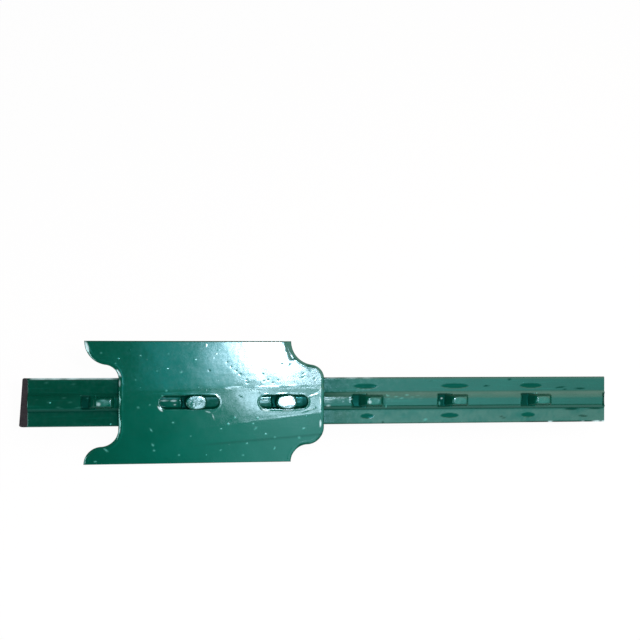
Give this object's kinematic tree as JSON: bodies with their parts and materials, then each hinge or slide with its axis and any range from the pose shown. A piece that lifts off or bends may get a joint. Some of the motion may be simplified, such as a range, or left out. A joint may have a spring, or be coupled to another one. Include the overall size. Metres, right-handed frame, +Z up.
{
  "type": "studded t-post foot with anchor plate",
  "caption": "Lower end of a green painted T-section steel fence post, with studs along its ribbed face and a staked anchor plate with a tongue and a recess.",
  "frame": {"origin": "middle of the footprint, on the surface that the part lies on", "axes": "+X along the post from its sheared foot to the plain cut end; +Z up; the studded face leans towards -Y and up"},
  "size_m": [0.377, 0.06, 0.0499],
  "materials": {
    "post_paint": "gloss green dip paint over rolled steel, with specks and scuffs; bare dark steel on the sheared foot",
    "spade_paint": "gloss green dip paint over punched steel plate, with specks, small pits and fine scratches"
  },
  "bodies": {
    "root": {"post": "post_paint", "spade": "spade_paint"}
  },
  "joints": []
}
